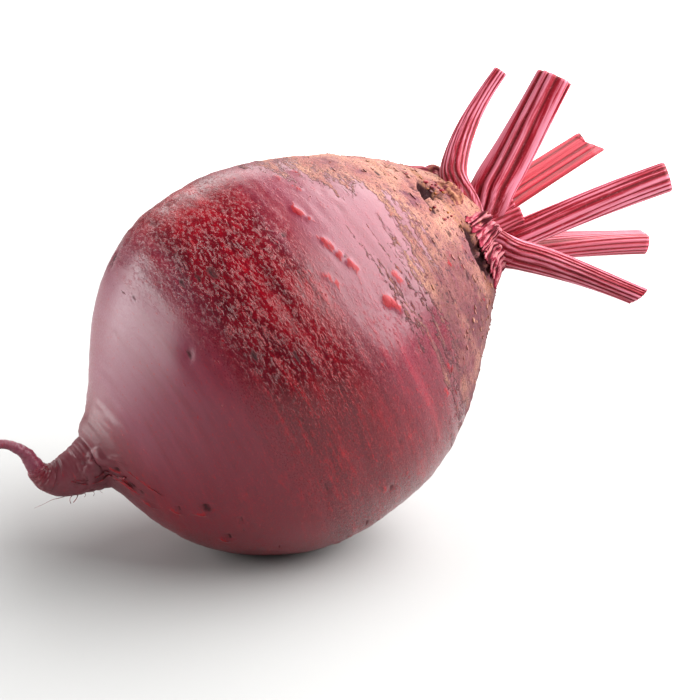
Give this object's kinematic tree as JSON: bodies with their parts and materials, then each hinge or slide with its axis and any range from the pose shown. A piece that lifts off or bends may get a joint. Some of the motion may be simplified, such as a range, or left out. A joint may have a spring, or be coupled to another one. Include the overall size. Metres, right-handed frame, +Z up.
{
  "type": "beetroot",
  "caption": "Whole raw beetroot with a curled taproot, a corky crown and short cut leaf stalks, lying on its belly.",
  "frame": {"origin": "middle of the flat spot on the globe's belly that it rests on", "axes": "+Z up; +X is the way the crown points, with the root's axis in the X-Z plane"},
  "size_m": [0.1537, 0.0764, 0.0931],
  "materials": {
    "root_skin": "damp satin skin, maroon, tan cork near the crown",
    "leaf_stalk": "satin crimson stalk with pale pink ribs",
    "torn_base": "dry, torn, pink and brown"
  },
  "bodies": {
    "root": {"root": "root_skin", "leaf_stalk_1": "leaf_stalk", "leaf_stalk_2": "leaf_stalk", "leaf_stalk_3": "leaf_stalk", "leaf_stalk_4": "leaf_stalk", "leaf_stalk_5": "leaf_stalk", "leaf_stalk_6": "leaf_stalk", "torn_leaf_base_1": "torn_base", "torn_leaf_base_2": "torn_base", "torn_leaf_base_3": "torn_base", "torn_leaf_base_4": "torn_base", "torn_leaf_base_5": "torn_base", "torn_leaf_base_6": "torn_base", "torn_leaf_base_7": "torn_base"}
  },
  "joints": []
}
